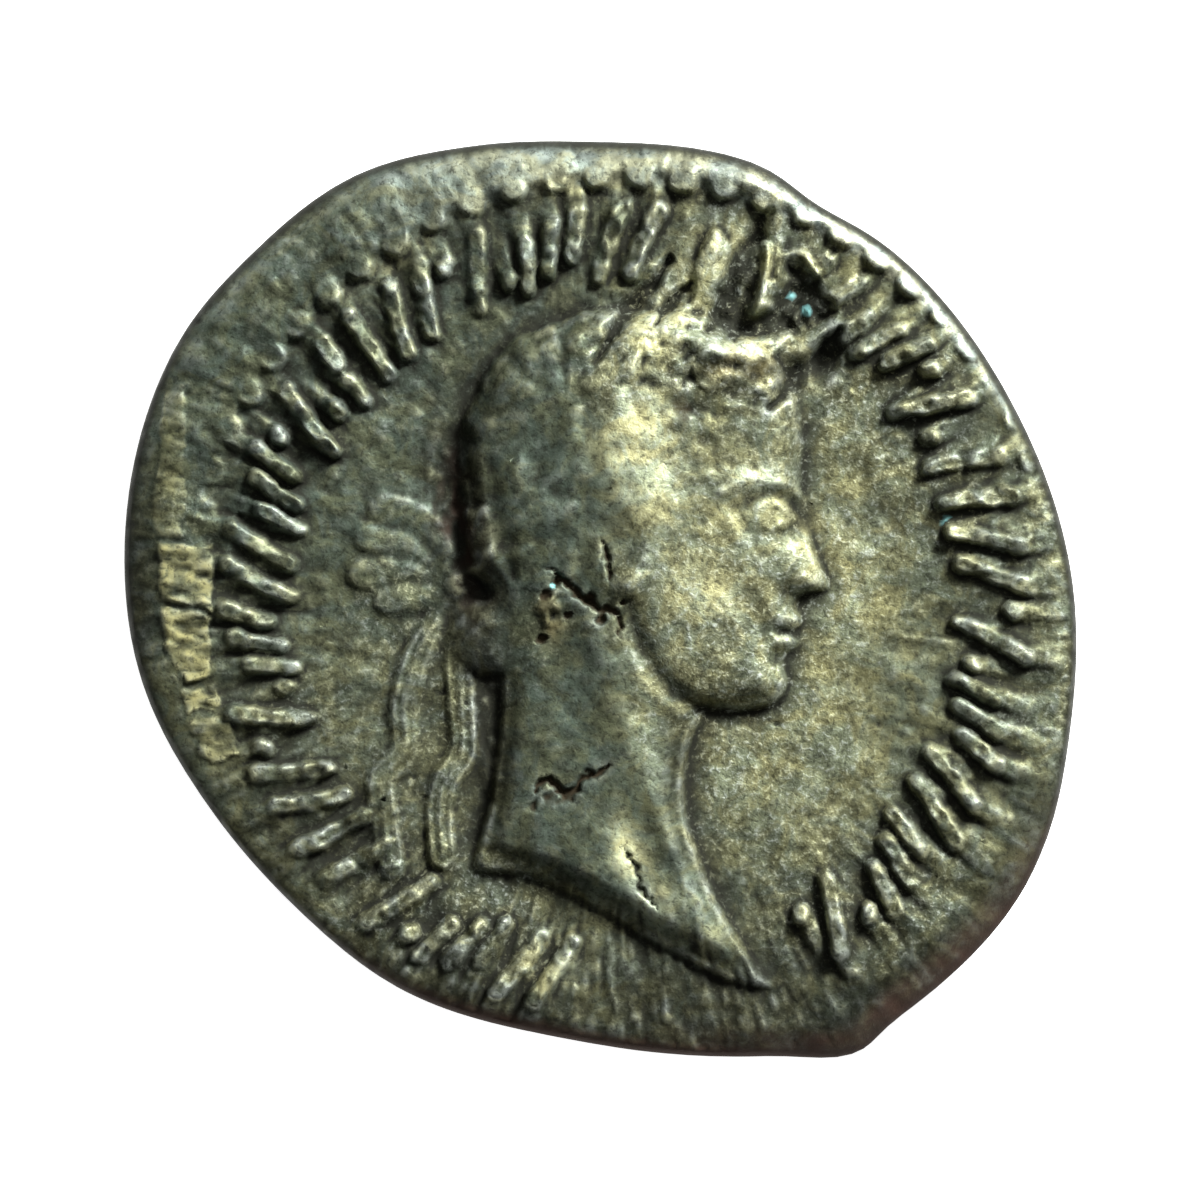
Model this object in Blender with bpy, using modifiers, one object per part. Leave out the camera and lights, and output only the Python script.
"""A struck silver denarius, lying on its reverse with the portrait side up.

The coin is made the way the real one was: a turned blank of metal, beaten to an
uneven outline, is struck between two dies. The blank is a profile turned with a
Screw modifier. The outline, the portrait, the ties, the border of beads, the ring
of strokes and the wreath on the back are formulas of x and y that move the
blank's own vertices, and a Decimate modifier leaves facets where the relief is.
"""

import bpy
import numpy as np

MM = 0.001

# The blank
FLAN_RADIUS = 9.10 * MM
FLAN_THICKNESS = 1.04 * MM
EDGE_RUN = 0.40 * MM
EDGE_DROP = 0.16 * MM
EDGE_BULGE = 0.10 * MM
SLANT_RUN = 0.90 * MM
SLANT_DROP = 0.62 * MM
SLANT_BEARING = 312.0
SLANT_SPREAD = 34.0
SHOULDER_RUN = 1.05 * MM
SHOULDER_DROP = 0.30 * MM
SHOULDER_BEARING = 138.0
SHOULDER_SPREAD = 75.0

# The uneven outline: bearing in degrees and radius as a share of FLAN_RADIUS
OUTLINE = [
    (0, 1.010), (25, 0.972), (50, 0.969), (61, 0.960), (71, 0.986), (90, 0.975),
    (105, 1.002), (120, 1.043), (135, 1.045), (150, 1.051), (175, 1.016), (190, 0.990),
    (208, 0.941), (225, 0.920), (243, 0.930), (262, 0.931), (276, 0.966), (290, 1.033),
    (299, 1.105), (306, 1.092), (322, 1.095), (332, 1.078), (345, 1.037),
]

# The obverse die
DIE_X = 0.50 * MM
DIE_Y = -0.20 * MM
BEAD_CIRCLE_RADIUS = 8.43 * MM
BEAD_COUNT = 64
BEAD_DIAMETER = 0.66 * MM
BEAD_RISE = 0.25 * MM
BEAD_BEARING = 166.9
LEGEND_RADIUS = 7.14 * MM
LEGEND_HEIGHT = 1.45 * MM
STROKE_WIDTH = 0.36 * MM
STROKE_RISE = 0.25 * MM

# The uneven strike: the bearing at which the ring of beads is strong, the one at which
# beads and rim ran together, and how far each reaches. Elsewhere the beads are lost.
STRONG_BEARING = 112.0
STRONG_SPREAD = 78.0
MERGED_BEARING = 45.0
MERGED_SPREAD = 42.0
LEDGE_RUN = 0.34 * MM

# The torn place above the brow: hollows as x, y, half width, half height and turn,
# and the line of the lip pushed up below them
TEAR_DEPTH = 0.20 * MM
TEAR_HOLLOWS = [
    (2.85 * MM, 5.95 * MM, 0.50 * MM, 1.15 * MM, -14.0),
    (3.95 * MM, 5.75 * MM, 0.72 * MM, 0.70 * MM, -30.0),
]
LIP_LINE = [(1.90 * MM, 4.75 * MM), (2.80 * MM, 4.95 * MM), (3.70 * MM, 4.95 * MM), (4.60 * MM, 5.45 * MM)]
LIP_WIDTH = 0.26 * MM
LIP_RISE = 0.18 * MM

# The portrait, whose carving is in shares of HEAD_HEIGHT and PORTRAIT_RISE
HEAD_HEIGHT = 7.66 * MM
HEAD_X = 0.65 * MM
HEAD_Y = -2.00 * MM
HEAD_TILT = -3.0
PORTRAIT_RISE = 0.85 * MM
FLANK_RUN = 0.20 * MM

# The reverse die
REVERSE_RISE = 0.26 * MM
REVERSE_BEAD_CIRCLE_RADIUS = 8.05 * MM
REVERSE_BEAD_COUNT = 60
REVERSE_LEGEND_RADIUS = 6.75 * MM
WREATH_RADIUS = 4.55 * MM
WREATH_LEAVES = 13
WREATH_LEAF_LENGTH = 1.55 * MM
WREATH_LEAF_WIDTH = 0.58 * MM
SHIELD_RADIUS = 2.45 * MM
SHIELD_GROOVE = 0.22 * MM
WORN_FLAT = 0.015 * MM

# How finely the blank is divided before the strike, and the facets left after it
RING_STEP = 0.095 * MM
SPOKES = 420
FACETS = 9800


def smoothstep(x, low, high):
    """0 below low, 1 above high, and a smooth rise between."""
    t = np.clip((x - low) / (high - low), 0.0, 1.0)
    return t * t * (3.0 - 2.0 * t)


def smooth_max(a, b, blend):
    """The larger of two heights, with the corner between them rounded by blend."""
    t = np.clip(0.5 + 0.5 * (a - b) / blend, 0.0, 1.0)
    return b * (1.0 - t) + a * t + blend * t * (1.0 - t)


def turned(x, y, cx, cy, degrees):
    """Coordinates about (cx, cy), turned anticlockwise by degrees."""
    c, s = np.cos(np.radians(degrees)), np.sin(np.radians(degrees))
    return (x - cx) * c + (y - cy) * s, -(x - cx) * s + (y - cy) * c


def dome(x, y, cx, cy, rx, ry, degrees=0.0):
    """The upper half of an ellipsoid of height 1: sqrt(1 - (a/rx)^2 - (b/ry)^2)."""
    a, b = turned(x, y, cx, cy, degrees)
    return np.sqrt(np.clip(1.0 - (a / rx) ** 2 - (b / ry) ** 2, 0.0, None))


def bump(x, y, cx, cy, rx, ry, degrees=0.0):
    """A soft bump of height 1: exp(-(a/rx)^2 - (b/ry)^2)."""
    a, b = turned(x, y, cx, cy, degrees)
    return np.exp(-((a / rx) ** 2) - (b / ry) ** 2)


def smooth_curve(points, closed=False, steps=6):
    """A Catmull-Rom curve through the points, with steps points to each span."""
    p = np.asarray(points, float)
    if closed:
        before, start, after, later = np.roll(p, 1, 0), p, np.roll(p, -1, 0), np.roll(p, -2, 0)
    else:
        padded = np.vstack([2 * p[0] - p[1], p, 2 * p[-1] - p[-2]])
        before, start, after, later = padded[:-3], padded[1:-2], padded[2:-1], padded[3:]
    t = np.linspace(0.0, 1.0, steps, endpoint=False)[None, :, None]
    before, start, after, later = (q[:, None, :] for q in (before, start, after, later))
    curve = 0.5 * (
        2 * start
        + (after - before) * t
        + (2 * before - 5 * start + 4 * after - later) * t**2
        + (3 * start - before - 3 * after + later) * t**3
    ).reshape(-1, p.shape[1])
    return curve if closed else np.vstack([curve, p[-1]])


def along_path(x, y, path):
    """Distance to a line of points, and how far along it the nearest point lies, 0 to 1."""
    nearest = np.full(x.shape, np.inf)
    share = np.zeros(x.shape)
    steps = np.diff(path, axis=0)
    lengths = np.hypot(steps[:, 0], steps[:, 1])
    reached = np.concatenate([[0.0], np.cumsum(lengths)])
    for (ax, ay), (ex, ey), length, start in zip(path[:-1], steps, lengths, reached):
        t = np.clip(((x - ax) * ex + (y - ay) * ey) / length**2, 0.0, 1.0)
        distance = np.hypot(x - ax - t * ex, y - ay - t * ey)
        share = np.where(distance < nearest, (start + t * length) / reached[-1], share)
        nearest = np.minimum(nearest, distance)
    return nearest, share


def depth_inside(x, y, outline):
    """Distance to a closed outline, positive within it and negative outside."""
    closed = np.vstack([outline, outline[:1]])
    distance = along_path(x, y, closed)[0]
    within = np.zeros(x.shape, bool)
    for (ax, ay), (bx, by) in zip(closed[:-1], closed[1:]):
        if ay != by:
            within ^= ((ay > y) != (by > y)) & (x < (bx - ax) * (y - ay) / (by - ay) + ax)
    return np.where(within, distance, -distance)


def only_where(near, x, y, shape, *sizes):
    """A shape's height worked out only for the points that are near it, 0 elsewhere."""
    high = np.zeros(x.shape)
    high[near] = shape(x[near], y[near], *sizes)
    return high


def cord(u, v, points, width, taper=0.0):
    """A raised cord along a smooth line, its ends thinner by taper."""
    distance, share = along_path(u, v, smooth_curve(points))
    half = width * (1.0 - taper * (2.0 * share - 1.0) ** 2)
    return np.sqrt(np.clip(1.0 - (distance / half) ** 2, 0.0, 1.0))


def crease(u, v, points, width, taper=0.0):
    """A soft ridge or furrow along a smooth line: exp(-(distance/half width)^2)."""
    distance, share = along_path(u, v, smooth_curve(points))
    half = width * (1.0 - taper * (2.0 * share - 1.0) ** 2)
    return np.exp(-((distance / half) ** 2))


def leaf_blade(x, y, base_x, base_y, length, width, heading, rib_share):
    """A laurel leaf pointing from its base along heading, rib_share of it a rib."""
    a, b = turned(x, y, base_x, base_y, heading)
    t = np.clip(a / length, 0.0, 1.0)
    half = 0.5 * width * np.sqrt(4.0 * t * (1.0 - t)) * (1.15 - 0.35 * t)
    across = np.abs(b) / np.maximum(half, 1e-9)
    blade = np.sqrt(np.clip(1.0 - across**2, 0.0, 1.0)) ** 0.7
    rib = np.exp(-((b / (0.12 * width)) ** 2))
    return np.where(across < 1.0, (1.0 - rib_share) * blade + rib_share * rib, 0.0)


def leaf(x, y, base_x, base_y, length, width, heading, rib_share=0.0):
    """The same leaf, worked out only within its own length of the base."""
    near = np.hypot(x - base_x, y - base_y) < 1.01 * length
    return only_where(near, x, y, leaf_blade, base_x, base_y, length, width, heading, rib_share)


# The head and neck facing right, from the crown round the face: shares of the
# head's height across and up, with the chin at 0 and the crown at 1
HEAD_OUTLINE = [
    (0.00, 1.000), (0.15, 0.985), (0.28, 0.925), (0.365, 0.820), (0.398, 0.700),
    (0.402, 0.590), (0.412, 0.510), (0.446, 0.410), (0.482, 0.335), (0.468, 0.302),
    (0.412, 0.284), (0.421, 0.226), (0.402, 0.199), (0.412, 0.172), (0.385, 0.130),
    (0.392, 0.070), (0.362, 0.012), (0.290, -0.012), (0.195, -0.030), (0.155, -0.110),
    (0.160, -0.270), (0.230, -0.450), (0.330, -0.610), (0.395, -0.705), (0.270, -0.695),
    (0.080, -0.610), (-0.100, -0.515), (-0.250, -0.460), (-0.385, -0.440), (-0.362, -0.260),
    (-0.345, -0.020), (-0.370, 0.200), (-0.440, 0.360), (-0.478, 0.560), (-0.455, 0.740),
    (-0.360, 0.895), (-0.190, 0.980),
]

# The cut below the bust, from the tip of the chest back to the nape side
BUST_FOOT = HEAD_OUTLINE[23:29]

# The edge of the hair, from the forehead round the ear to the nape, closed above
HAIRLINE = [
    (0.345, 0.840), (0.265, 0.785), (0.195, 0.705), (0.150, 0.620), (0.095, 0.550),
    (0.075, 0.450), (0.040, 0.375), (0.012, 0.430), (-0.015, 0.520), (-0.080, 0.545),
    (-0.135, 0.480), (-0.145, 0.350), (-0.190, 0.230), (-0.280, 0.160), (-0.420, 0.100),
    (-0.620, 0.500), (-0.500, 1.050), (0.000, 1.200), (0.460, 1.050),
]

# The line of the wreath on the head, from the knot at the nape to above the brow
WREATH_LINE = [(-0.44, 0.28), (-0.33, 0.43), (-0.17, 0.60), (0.00, 0.76), (0.12, 0.88), (0.17, 0.96)]
WREATH_SPRIGS = 7
KNOT = (-0.465, 0.275)

# Two curls of hair at the back of the head, and the ribbons that hang from the knot
NAPE_CURLS = [
    [(-0.455, 0.660), (-0.440, 0.540), (-0.405, 0.430)],
    [(-0.400, 0.600), (-0.372, 0.490), (-0.345, 0.380), (-0.320, 0.290)],
]
LEFT_RIBBON = [
    (-0.480, 0.240), (-0.545, 0.110), (-0.578, -0.030), (-0.571, -0.154), (-0.625, -0.223),
    (-0.613, -0.328), (-0.590, -0.430),
]
RIGHT_RIBBON = [
    (-0.460, 0.220), (-0.447, 0.085), (-0.432, -0.040), (-0.425, -0.146), (-0.465, -0.224),
    (-0.475, -0.300), (-0.462, -0.410),
]
RIBBON_HALF = 0.044


def head_shares(x, y):
    """Place on the head, in shares of its height from the foot of the chin."""
    a, b = turned(x, y, HEAD_X, HEAD_Y, HEAD_TILT)
    return a / HEAD_HEIGHT, b / HEAD_HEIGHT


def head_masses(u, v):
    """Skull, face and jaw as domes run together, standing over neck and chest."""
    skull = 0.80 * dome(u, v, -0.03, 0.58, 0.56, 0.55)
    face = 0.82 * dome(u, v, 0.08, 0.34, 0.42, 0.46, -6.0)
    jaw = 0.72 * dome(u, v, 0.13, 0.17, 0.32, 0.24, -18.0)
    head = smooth_max(smooth_max(skull, face, 0.12), jaw, 0.10)
    across = turned(u, v, -0.10, -0.10, 3.0)[0]
    neck = 0.58 * np.sqrt(np.clip(1.0 - (across / 0.34) ** 2, 0.0, 1.0)) * smoothstep(v, 0.42, 0.15)
    chest = 0.56 * dome(u, v, 0.02, -0.50, 0.52, 0.36, -30.0)
    torso = smooth_max(neck, chest, 0.12)
    return np.where(head > 0.02, smooth_max(head, torso, 0.04), torso)


def eye(u, v):
    """Hollow of the eye, the ball in it, and two lids."""
    socket = -0.32 * bump(u, v, 0.335, 0.500, 0.085, 0.058, -10.0)
    brow = 0.16 * crease(u, v, [(0.40, 0.545), (0.34, 0.570), (0.26, 0.575), (0.19, 0.545)], 0.024, 0.5)
    ball = 0.27 * dome(u, v, 0.325, 0.490, 0.054, 0.040)
    upper = 0.10 * cord(u, v, [(0.378, 0.492), (0.345, 0.525), (0.30, 0.528), (0.262, 0.492)], 0.013)
    lower = 0.07 * cord(u, v, [(0.378, 0.486), (0.33, 0.455), (0.285, 0.462), (0.262, 0.488)], 0.011)
    return socket + brow + ball + upper + lower - 0.08 * bump(u, v, 0.392, 0.47, 0.03, 0.06, 10.0)


def nose(u, v):
    """Bridge, wing and the furrow behind the wing."""
    bridge = 0.10 * bump(u, v, 0.425, 0.40, 0.03, 0.09, 18.0)
    wing = 0.20 * dome(u, v, 0.412, 0.322, 0.042, 0.036)
    furrow = -0.13 * bump(u, v, 0.368, 0.315, 0.018, 0.05, -25.0)
    nostril = -0.14 * bump(u, v, 0.438, 0.298, 0.020, 0.010)
    return bridge + wing + furrow + nostril


def mouth_and_chin(u, v):
    """Two lips with the line between them, the hollow below and the chin."""
    lips = 0.13 * dome(u, v, 0.395, 0.222, 0.050, 0.022, -12.0)
    lips = lips + 0.13 * dome(u, v, 0.385, 0.176, 0.045, 0.022, 10.0)
    line = -0.22 * bump(u, v, 0.385, 0.200, 0.052, 0.009, -3.0)
    corner = -0.08 * bump(u, v, 0.325, 0.198, 0.018, 0.030)
    hollow = -0.10 * bump(u, v, 0.370, 0.132, 0.055, 0.018, 8.0)
    chin = 0.12 * bump(u, v, 0.335, 0.070, 0.055, 0.050)
    return lips + line + corner + hollow + chin


def ear(u, v):
    """A rounded rim round a hollow, with a lobe below."""
    a, b = turned(u, v, -0.055, 0.405, 8.0)
    ring = np.hypot(a / 0.072, b / 0.130)
    rim = 0.26 * np.exp(-(((ring - 0.80) / 0.20) ** 2)) - 0.20 * np.exp(-((ring / 0.50) ** 2))
    lobe = 0.18 * dome(u, v, -0.030, 0.300, 0.038, 0.045)
    return np.where(ring < 1.35, rim + lobe, 0.0)


def cheek_jaw_and_neck(u, v):
    """Cheekbone, hollow cheek, the step under the jaw and the neck's long muscle."""
    bone = 0.08 * bump(u, v, 0.22, 0.38, 0.10, 0.07, 15.0)
    hollow = -0.08 * bump(u, v, 0.27, 0.25, 0.03, 0.11, 30.0)
    jaw = [(0.30, -0.03), (0.18, -0.01), (0.08, 0.05), (0.01, 0.15), (-0.03, 0.25)]
    under = -0.20 * crease(u, v, jaw, 0.026, 0.6)
    muscle = 0.10 * crease(u, v, [(-0.12, 0.20), (-0.05, 0.0), (0.04, -0.2), (0.12, -0.36)], 0.050, 0.6)
    return bone + hollow + under + muscle


def nape(u, v):
    """The rolled hair at the nape: one smooth lump that hangs over the neck."""
    return 0.50 * dome(u, v, -0.365, 0.150, 0.115, 0.105, 20.0)


def locks(u, v):
    """Short locks in two shingled layers of rows that spread from the crown."""
    row, width = 0.115, 0.075
    du, dv = u + 0.20, v - 0.78
    out, bearing = np.hypot(du, dv), np.arctan2(dv, du)
    high = np.zeros(u.shape)
    for shift in (0.0, 0.5):
        k = np.floor(out / row + shift)
        s = out / row + shift - k
        middle = np.maximum((k + 0.6 - shift) * row, 0.05)
        count = np.maximum(np.round(2.0 * np.pi * middle / width), 5.0)
        turn = bearing * count / (2.0 * np.pi) + shift + 0.8 * np.sin(2.4 * k + shift) + 0.5 * s**2
        across = 2.0 * (turn - np.floor(turn)) - 1.0
        tip = np.sqrt(np.clip(1.0 - np.clip((s - 0.3) / 0.68, 0.0, 1.0) ** 2, 0.0, 1.0))
        lock = np.sqrt(np.clip(1.0 - (across / np.maximum(tip, 1e-3)) ** 2, 0.0, 1.0))
        high = np.maximum(high, lock * (0.4 + 0.6 * smoothstep(s, 0.0, 0.5)))
    return high


def wreath_leaves(u, v):
    """Sprigs of three leaves along the wreath's line, growing towards the brow."""
    line = smooth_curve(WREATH_LINE, steps=8)
    last = len(line) - 1
    high = np.zeros(u.shape)
    for share in np.linspace(0.03, 0.92, WREATH_SPRIGS):
        i = int(share * last)
        step = line[i + 1] - line[i]
        base = line[i] + (share * last - i) * step
        heading = np.degrees(np.arctan2(step[1], step[0]))
        size = 0.80 + 0.50 * share
        for turn, stand in ((30.0, 0.85), (-26.0, 0.85), (2.0, 1.0)):
            blade = leaf(u, v, base[0], base[1], 0.22 * size, 0.092 * size, heading + turn, 0.25)
            high = np.maximum(high, stand * blade)
    return high


def foot_share(u, v):
    """Distance above the line on which the bust is cut off, in shares of the head."""
    return along_path(u, v, smooth_curve(BUST_FOOT))[0]


def portrait(x, y):
    """Height of the head and neck over the field."""
    u, v = head_shares(x, y)
    depth = HEAD_HEIGHT * depth_inside(u, v, smooth_curve(HEAD_OUTLINE, closed=True))
    hairy = HEAD_HEIGHT * depth_inside(u, v, smooth_curve(HAIRLINE, closed=True, steps=4))
    round_off = smoothstep(depth, 0.0, 2.75 * FLANK_RUN) ** 0.55
    high = np.maximum(head_masses(u, v) * round_off, 0.32 * smoothstep(depth, 0.0, FLANK_RUN))
    bare = smoothstep(-hairy, -0.25 * FLANK_RUN, 0.5 * FLANK_RUN)
    features = eye(u, v) + nose(u, v) + mouth_and_chin(u, v) + ear(u, v) + cheek_jaw_and_neck(u, v)
    high = high + bare * smoothstep(depth, 0.0, 0.75 * FLANK_RUN) * features
    cover = smoothstep(hairy, -0.25 * FLANK_RUN, 0.6 * FLANK_RUN)
    cover = cover * smoothstep(depth, 0.0, 0.6 * FLANK_RUN)
    high = high + cover * (0.05 + 0.11 * (locks(u, v) - 0.35))
    for line in NAPE_CURLS:
        high = high - 0.14 * crease(u, v, line, 0.022, 0.5)
    high = np.where(depth > 0.0, high, 0.0) * (1.0 - 0.30 * smoothstep(foot_share(u, v), 0.085, 0.050))
    leaves = wreath_leaves(u, v)
    crowned = np.maximum(0.75 * high, 0.84 * high + 0.08 + 0.24 * leaves)
    high = smooth_max(np.where(leaves > 0.01, crowned, high), nape(u, v), 0.04)
    return PORTRAIT_RISE * np.clip(high, 0.0, None)


def ties(x, y):
    """The knot behind the nape, four short loops and two ribbons that hang from it."""
    u, v = head_shares(x, y)
    high = 0.30 * dome(u, v, KNOT[0], KNOT[1], 0.035, 0.045)
    for end_u, end_v in ((-0.66, 0.46), (-0.69, 0.385), (-0.70, 0.29), (-0.63, 0.23)):
        middle = (0.5 * (end_u + KNOT[0]), 0.5 * (end_v + KNOT[1]) + 0.2 * (end_v - 0.2))
        high = np.maximum(high, 0.22 * cord(u, v, [KNOT, middle, (end_u, end_v)], 0.036, 0.35))
    for line in (LEFT_RIBBON, RIGHT_RIBBON):
        distance, share = along_path(u, v, smooth_curve(line))
        half = RIBBON_HALF * (0.55 + 0.45 * smoothstep(share, 0.0, 0.25))
        pleats = 0.045 * np.cos(3.0 * np.pi * np.clip(distance / half, 0.0, 1.0))
        high = np.maximum(high, smoothstep(half - distance, 0.0, 0.018) * (0.17 + pleats))
    return PORTRAIT_RISE * high


def beads(x, y, cx, cy, radius, count, bearing):
    """A ring of half-round beads about (cx, cy), one of them on the bearing."""
    pitch = 360.0 / count
    turn = (np.degrees(np.arctan2(y - cy, x - cx)) - bearing) / pitch
    along = np.radians(pitch) * radius * (turn - np.round(turn))
    out = np.hypot(x - cx, y - cy) - radius
    reach = 4.0 * (along**2 + out**2) / BEAD_DIAMETER**2
    return BEAD_RISE * np.sqrt(np.clip(1.0 - reach, 0.0, 1.0))


def tear(x, y):
    """The torn place: two hollows down to TEAR_DEPTH and the lip raised below them."""
    high = np.zeros(x.shape)
    for cx, cy, wide, tall, degrees in TEAR_HOLLOWS:
        a, b = turned(x, y, cx, cy, degrees)
        high = np.minimum(high, -TEAR_DEPTH * smoothstep(1.0 - np.hypot(a / wide, b / tall), 0.0, 0.6))
    return high + LIP_RISE * crease(x, y, LIP_LINE, 0.5 * LIP_WIDTH, 0.4)


# Groups of strokes that spell nothing: each stroke from start to end, in shares of a
# cell along the ring and of its height outward
SLANTED_PAIR = [((-0.40, -0.45), (-0.05, 0.42)), ((0.05, -0.42), (0.40, 0.45))]
BROKEN_BAR = [
    ((-0.32, -0.46), (-0.24, -0.12)), ((-0.18, 0.12), (-0.10, 0.46)), ((0.20, -0.46), (0.36, 0.46)),
]
ECHELON = [
    ((-0.42, -0.44), (-0.28, 0.14)), ((-0.10, -0.30), (0.08, 0.32)), ((0.26, -0.14), (0.42, 0.44)),
]
PELLET_BAR = [
    ((-0.18, -0.46), (0.18, 0.46)), ((-0.36, 0.22), (-0.32, 0.28)), ((0.32, -0.28), (0.36, -0.22)),
]
STROKE_GROUPS = [SLANTED_PAIR, ECHELON, PELLET_BAR, BROKEN_BAR, SLANTED_PAIR, PELLET_BAR, ECHELON]


def stroke(x, y, start_x, start_y, end_x, end_y):
    """A bar from start to end, round at its sides and worn flat on top."""
    distance = along_path(x, y, np.array([(start_x, start_y), (end_x, end_y)]))[0]
    rounded = np.sqrt(np.clip(1.0 - (2.0 * distance / STROKE_WIDTH) ** 2, 0.0, 1.0))
    return np.minimum(1.25 * rounded, 1.0)


def stroke_ring(x, y, cx, cy, radius, first, last, cells):
    """Groups of strokes in equal cells along an arc about (cx, cy), clockwise."""
    out = np.hypot(x - cx, y - cy) - radius
    bearing = np.degrees(np.arctan2(y - cy, x - cx))
    pitch = (first - last) / cells
    width = np.radians(pitch) * radius
    high = np.zeros(x.shape)
    for cell in range(cells):
        off = (first - (cell + 0.5) * pitch - bearing + 180.0) % 360.0 - 180.0
        along = np.radians(off) * radius
        near = (np.abs(off) < pitch) & (np.abs(out) < LEGEND_HEIGHT)
        for (start_x, start_y), (end_x, end_y) in STROKE_GROUPS[cell % len(STROKE_GROUPS)]:
            ends = (start_x * width, start_y * LEGEND_HEIGHT, end_x * width, end_y * LEGEND_HEIGHT)
            high = np.maximum(high, only_where(near, along, out, stroke, *ends))
    return STROKE_RISE * high


def bearing_lobe(bearing, middle, spread):
    """1 at the middle bearing, falling smoothly to 0 at spread degrees either side."""
    off = np.abs((bearing - middle + 180.0) % 360.0 - 180.0)
    return smoothstep(spread - off, 0.0, 0.7 * spread)


def outline_radius(bearing):
    """The blank's radius at each bearing, smooth through the points of OUTLINE."""
    points = [(b - 360, r) for b, r in OUTLINE[-2:]] + OUTLINE + [(b + 360, r) for b, r in OUTLINE[:3]]
    curve = smooth_curve(points)
    return FLAN_RADIUS * np.interp(bearing % 360.0, curve[:, 0], curve[:, 1])


def edge_fall(x, y, run, drop):
    """How far the face has fallen near the outline: drop * (1 - distance/run)^1.7."""
    bearing = np.degrees(np.arctan2(y, x))
    inward = outline_radius(bearing) - np.hypot(x, y)
    return drop * np.clip(1.0 - inward / run, 0.0, 1.0) ** 1.7, smoothstep(inward, 0.0, EDGE_RUN)


def bead_border(x, y):
    """The beads and the rim outside them, each as strong as the strike left it."""
    bearing = np.degrees(np.arctan2(y - DIE_Y, x - DIE_X))
    strong = bearing_lobe(bearing, STRONG_BEARING, STRONG_SPREAD)
    merged = bearing_lobe(bearing, MERGED_BEARING, MERGED_SPREAD)
    ring = beads(x, y, DIE_X, DIE_Y, BEAD_CIRCLE_RADIUS, BEAD_COUNT, BEAD_BEARING)
    out = np.hypot(x - DIE_X, y - DIE_Y) - BEAD_CIRCLE_RADIUS
    ledge = BEAD_RISE * smoothstep(out, -0.60 * LEDGE_RUN, 0.40 * LEDGE_RUN)
    ring = ring * np.clip(strong + 0.75 * merged, 0.0, 1.0)
    return np.maximum(ring, ledge * (0.72 * strong + 0.85 * merged))


def obverse_height(x, y):
    """Height of the portrait side: the field, what is struck on it, and the edge."""
    bearing = np.degrees(np.arctan2(y, x))
    slant = bearing_lobe(bearing, SLANT_BEARING, SLANT_SPREAD)
    shoulder = bearing_lobe(bearing, SHOULDER_BEARING, SHOULDER_SPREAD)
    run = EDGE_RUN + (SLANT_RUN - EDGE_RUN) * slant + (SHOULDER_RUN - EDGE_RUN) * shoulder
    drop = EDGE_DROP + (SLANT_DROP - EDGE_DROP) * slant + (SHOULDER_DROP - EDGE_DROP) * shoulder
    fall, whole = edge_fall(x, y, run, drop)
    u, v = head_shares(x, y)
    near = (np.abs(u) < 0.80) & (np.abs(v - 0.25) < 1.0)
    struck = np.maximum(only_where(near, x, y, portrait), only_where(near, x, y, ties))
    left = stroke_ring(x, y, DIE_X, DIE_Y, LEGEND_RADIUS, 262.0, 84.0, 15)
    right = stroke_ring(x, y, DIE_X, DIE_Y, LEGEND_RADIUS, 66.0, -62.0, 10)
    struck = np.maximum(np.maximum(struck, bead_border(x, y)), np.maximum(left, right))
    torn = only_where(np.hypot(x - 0.4 * FLAN_RADIUS, y - 0.6 * FLAN_RADIUS) < 0.5 * FLAN_RADIUS, x, y, tear)
    return REVERSE_RISE + FLAN_THICKNESS + (struck + torn) * whole - fall


def reverse_wreath(x, y):
    """Two branches of leaves rising from the tie at the foot to meet at the top."""
    high = np.zeros(x.shape)
    for way in (-1.0, 1.0):
        for k in range(WREATH_LEAVES):
            bearing = -90.0 + way * (14.0 + 152.0 * k / (WREATH_LEAVES - 1))
            base_x = WREATH_RADIUS * np.cos(np.radians(bearing))
            base_y = WREATH_RADIUS * np.sin(np.radians(bearing))
            for turn in (38.0, -38.0):
                heading = bearing + way * 90.0 + turn
                blade = leaf(x, y, base_x, base_y, WREATH_LEAF_LENGTH, WREATH_LEAF_WIDTH, heading)
                high = np.maximum(high, blade)
    for way in (-1.0, 1.0):
        for swing, drop in ((0.42, 0.10), (0.26, 0.30)):
            end = (way * swing * WREATH_RADIUS, -(1.0 + drop) * WREATH_RADIUS)
            middle = (way * 0.30 * WREATH_RADIUS, -(0.98 + 0.3 * drop) * WREATH_RADIUS)
            band = cord(x, y, [(0.0, -WREATH_RADIUS), middle, end], 0.4 * WREATH_LEAF_WIDTH, 0.3)
            high = np.maximum(high, 0.9 * band)
    return 1.25 * REVERSE_RISE * high


def reverse_height(x, y):
    """Height of the other side, whose high points are worn flat at z = 0."""
    fall, whole = edge_fall(x, y, EDGE_RUN, EDGE_DROP)
    out = np.hypot(x, y)
    shield = smoothstep(SHIELD_RADIUS - out, 0.0, 0.5 * SHIELD_GROOVE)
    off = (out - SHIELD_RADIUS - 1.5 * SHIELD_GROOVE) / SHIELD_GROOVE
    rim = np.sqrt(np.clip(1.0 - off**2, 0.0, 1.0))
    struck = REVERSE_RISE * np.maximum(1.2 * shield, 0.8 * rim)
    struck = np.maximum(struck, reverse_wreath(x, y))
    ring = beads(x, y, 0.0, 0.0, REVERSE_BEAD_CIRCLE_RADIUS, REVERSE_BEAD_COUNT, 0.0)
    struck = np.maximum(struck, ring)
    struck = np.maximum(struck, stroke_ring(x, y, 0.0, 0.0, REVERSE_LEGEND_RADIUS, 248.0, -68.0, 20))
    return REVERSE_RISE - np.minimum(struck, REVERSE_RISE) * whole + fall


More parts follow.
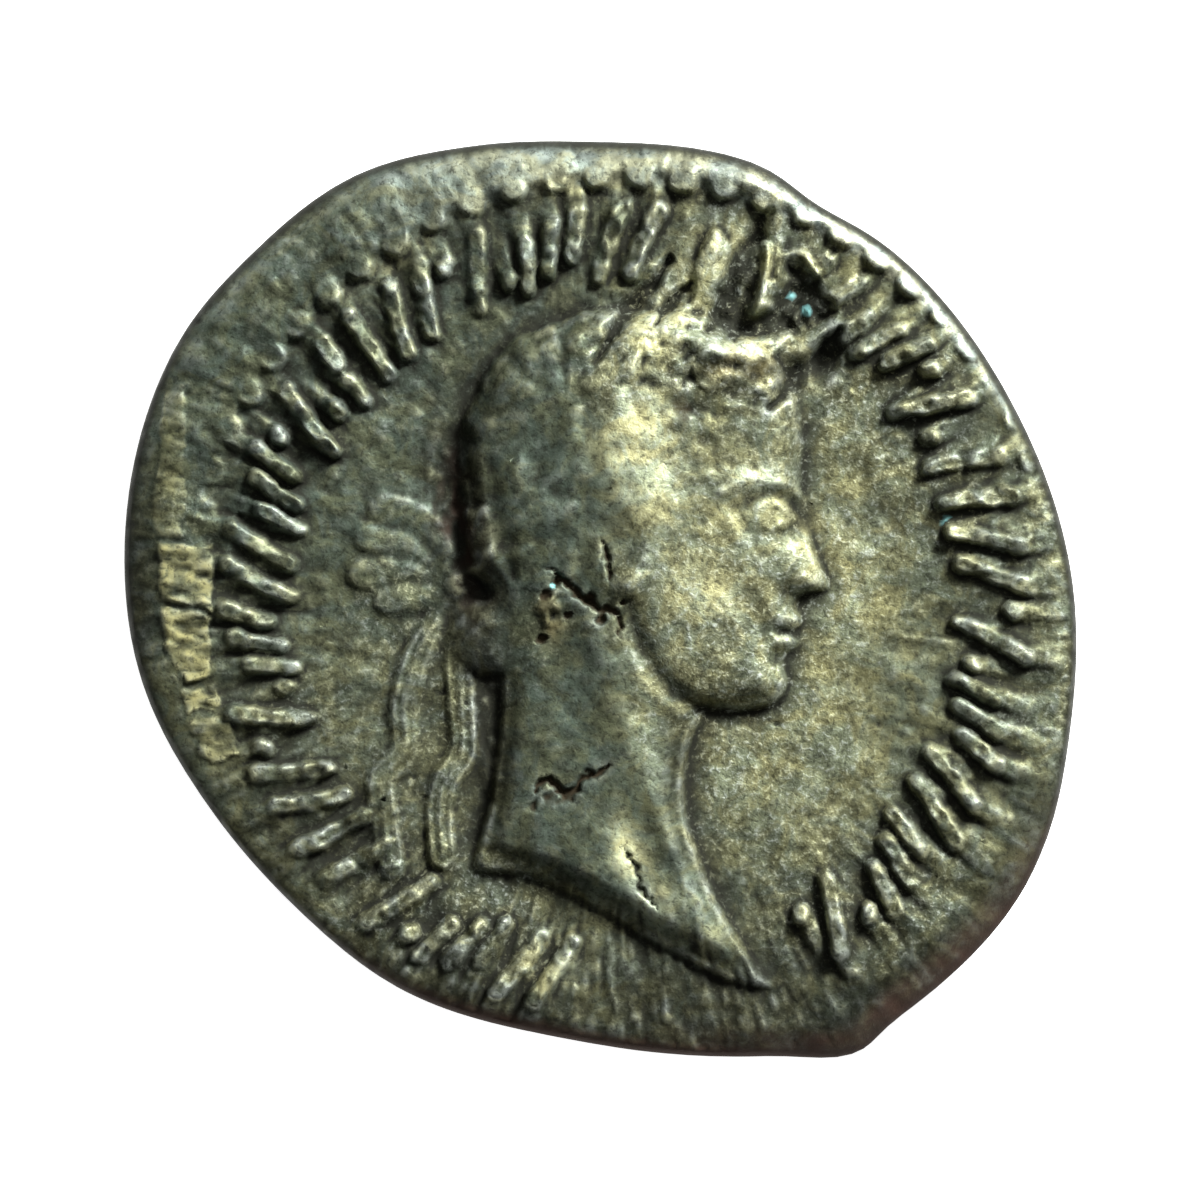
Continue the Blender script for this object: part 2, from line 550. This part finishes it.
def turned_blank(name):
    """A round blank of unit radius as a profile turned about the Z axis.

    The profile runs from the middle of the top out to the rim and back below.
    Its z says where each ring will go: 1 on top, 0 at mid-height and -1 below."""
    rings = int(round(FLAN_RADIUS / RING_STEP))
    out = np.arange(rings + 1) / rings
    profile = [(r, 0.0, 1.0) for r in out] + [(1.0, 0.0, 0.0)] + [(r, 0.0, -1.0) for r in out[::-1]]
    mesh = bpy.data.meshes.new(name)
    mesh.from_pydata(profile, [(i, i + 1) for i in range(len(profile) - 1)], [])
    blank = bpy.data.objects.new(name, mesh)
    screw = blank.modifiers.new("Turn", "SCREW")
    screw.steps = screw.render_steps = SPOKES
    screw.use_merge_vertices = True
    screw.merge_threshold = 1e-6
    return blank


def strike(blank, collection):
    """Move every vertex of the turned blank to the coin's outline and relief."""
    collection.objects.link(blank)
    evaluated = blank.evaluated_get(bpy.context.evaluated_depsgraph_get())
    mesh = bpy.data.meshes.new_from_object(evaluated)
    blank.modifiers.clear()
    points = np.empty(3 * len(mesh.vertices))
    mesh.vertices.foreach_get("co", points)
    points = points.reshape(-1, 3)
    share, level = np.hypot(points[:, 0], points[:, 1]), points[:, 2]
    bearing = np.arctan2(points[:, 1], points[:, 0])
    radius = outline_radius(np.degrees(bearing))
    rim = radius - EDGE_BULGE * np.abs(level)
    x, y = share * rim * np.cos(bearing), share * rim * np.sin(bearing)
    top, under = obverse_height(x, y), reverse_height(x, y)
    z = np.where(level > 0.5, top, np.where(level < -0.5, under, 0.5 * (top + under)))
    x, y = x - 0.5 * (x.max() + x.min()), y - 0.5 * (y.max() + y.min())
    mesh.vertices.foreach_set("co", np.column_stack([x, y, z]).ravel())
    mesh.update()
    blank.data = mesh
    return blank


def facets(coin):
    """Leave FACETS triangles, where the relief needs them most."""
    triangles = sum(len(face.vertices) - 2 for face in coin.data.polygons)
    thin = coin.modifiers.new("Facets", "DECIMATE")
    thin.ratio = FACETS / triangles
    thin.use_collapse_triangulate = True
    evaluated = coin.evaluated_get(bpy.context.evaluated_depsgraph_get())
    coin.data = bpy.data.meshes.new_from_object(evaluated)
    coin.modifiers.clear()
    return coin


def worn_flat(coin):
    """Wear every point within WORN_FLAT of the table down to one flat plane, z = 0."""
    points = np.empty(3 * len(coin.data.vertices))
    coin.data.vertices.foreach_get("co", points)
    low = points[2::3] < WORN_FLAT
    points[2::3][low] = 0.0
    coin.data.vertices.foreach_set("co", points)
    coin.data.update()


def coin_metal():
    """Old silver, toned a greenish grey."""
    material = bpy.data.materials.new("toned silver")
    material.use_nodes = True
    shader = material.node_tree.nodes["Principled BSDF"]
    shader.inputs["Base Color"].default_value = (0.26, 0.26, 0.20, 1.0)
    shader.inputs["Metallic"].default_value = 0.85
    shader.inputs["Roughness"].default_value = 0.42
    return material


def build_coin():
    """The whole coin as one solid."""
    for old in list(bpy.data.objects):
        bpy.data.objects.remove(old)
    collection = bpy.data.collections.new("denarius coin")
    bpy.context.scene.collection.children.link(collection)
    coin = strike(turned_blank("coin"), collection)
    coin.data.materials.clear()
    coin.data.materials.append(coin_metal())
    worn_flat(facets(coin))


build_coin()
